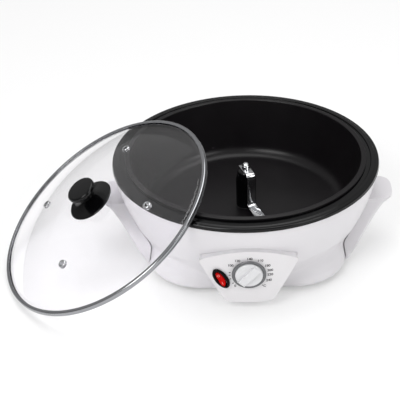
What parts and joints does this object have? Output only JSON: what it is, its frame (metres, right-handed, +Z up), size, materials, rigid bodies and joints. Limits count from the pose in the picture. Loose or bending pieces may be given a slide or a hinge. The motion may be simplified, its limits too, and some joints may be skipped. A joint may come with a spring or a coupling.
{
  "type": "home coffee bean roaster",
  "caption": "Countertop roaster: heated pan in a bowl-shaped housing, motor-driven stirrer, temperature knob, rocker switch and a loose domed glass lid that leans on the rim.",
  "frame": {"origin": "centre of the base cover's flat underside, on the stirrer's axis; the feet reach 6 mm below", "axes": "+Z up along the stirrer's axis, -Y towards the control panel, +X to the right of it"},
  "size_m": [0.4432, 0.3419, 0.1475],
  "materials": {
    "housing_white": "glossy white moulded plastic",
    "panel_white": "smooth white moulded plastic",
    "knob_white": "smooth white moulded plastic",
    "rim_black": "glossy black moulded plastic",
    "pan_coating": "dark non-stick coating on pressed metal",
    "black_plastic": "black moulded plastic",
    "knob_black": "glossy black phenolic plastic",
    "switch_red": "glossy red plastic",
    "knob_silver": "satin silver ring",
    "stainless": "bright stainless steel",
    "zinc_steel": "plain zinc-plated steel",
    "heater_sheath": "heat-darkened steel sheath",
    "bronze": "sintered bronze",
    "rubber": "black rubber",
    "nylon": "natural nylon",
    "lid_glass": "clear tempered glass"
  },
  "bodies": {
    "base": {"outer_housing": "housing_white", "rim_ring": "rim_black", "roasting_pan": "pan_coating", "heating_element": "heater_sheath", "heat_shield": "zinc_steel", "thermal_fuse": "nylon", "base_cover": "black_plastic", "handle_right": "housing_white", "handle_left": "housing_white", "control_panel": "panel_white", "drive_motor": "zinc_steel", "gear_plate": "zinc_steel", "gear_cover": "nylon", "plate_bush": "bronze", "collar_bush": "bronze", "shaft_seal": "rubber", "terminal_block": "nylon", "cord_bush": "rubber", "thermostat": "zinc_steel", "thermostat_nut": "zinc_steel", "switch_bezel": "black_plastic", "rubber_foot_1": "rubber", "base_screw_1": "zinc_steel", "rubber_foot_2": "rubber", "base_screw_2": "zinc_steel", "rubber_foot_3": "rubber", "base_screw_3": "zinc_steel", "rubber_foot_4": "rubber", "base_screw_4": "zinc_steel", "gear_plate_screw_1": "zinc_steel", "gear_plate_screw_2": "zinc_steel", "gear_plate_screw_3": "zinc_steel", "handle_screw_right_1": "zinc_steel", "handle_screw_right_2": "zinc_steel", "handle_screw_left_1": "zinc_steel", "handle_screw_left_2": "zinc_steel"},
    "stirrer": {"drive_shaft": "stainless", "shaft_clip": "zinc_steel", "output_gear": "nylon", "stirrer_hub": "black_plastic", "stirrer_arm": "stainless", "stirrer_nut": "stainless"},
    "pinion": {"motor_shaft": "stainless", "motor_pinion": "nylon"},
    "dial": {"temperature_knob": "knob_white", "knob_ring": "knob_silver", "thermostat_shaft": "zinc_steel"},
    "rocker": {"switch_rocker": "switch_red"},
    "lid": {"lid_glass": "lid_glass", "lid_rim_band": "stainless", "lid_knob_skirt": "knob_black", "lid_knob": "knob_black", "lid_knob_washer": "rubber", "lid_knob_screw": "zinc_steel", "vent_eyelet_1": "stainless", "vent_eyelet_2": "stainless", "vent_eyelet_3": "stainless", "vent_eyelet_4": "stainless"}
  },
  "joints": [
    {"name": "lid_lift", "type": "slide", "parent": "base", "child": "lid", "axis": [0, 0, 1], "range_m": [0, 0.2]},
    {"name": "stirrer_spin", "type": "hinge", "parent": "base", "child": "stirrer", "pos_m": [0, 0, 0.05], "axis": [0, 0, 1], "continuous": true},
    {"name": "pinion_spin", "type": "hinge", "parent": "base", "child": "pinion", "pos_m": [0, 0.03188, 0.02], "axis": [0, 0, 1], "continuous": true},
    {"name": "dial_turn", "type": "hinge", "parent": "base", "child": "dial", "pos_m": [0, -0.14582, 0.0448], "axis": [0, 0.9972, 0.0748], "range_deg": [0, 250]},
    {"name": "rocker_press", "type": "hinge", "parent": "base", "child": "rocker", "pos_m": [-0.0296, -0.14221, 0.0373], "axis": [0.842, -0.2132, 0.4955], "range_deg": [0, 16]}
  ],
  "couplings": [
    {"joint": "pinion_spin", "follows": "stirrer_spin", "ratio": -3.25}
  ]
}
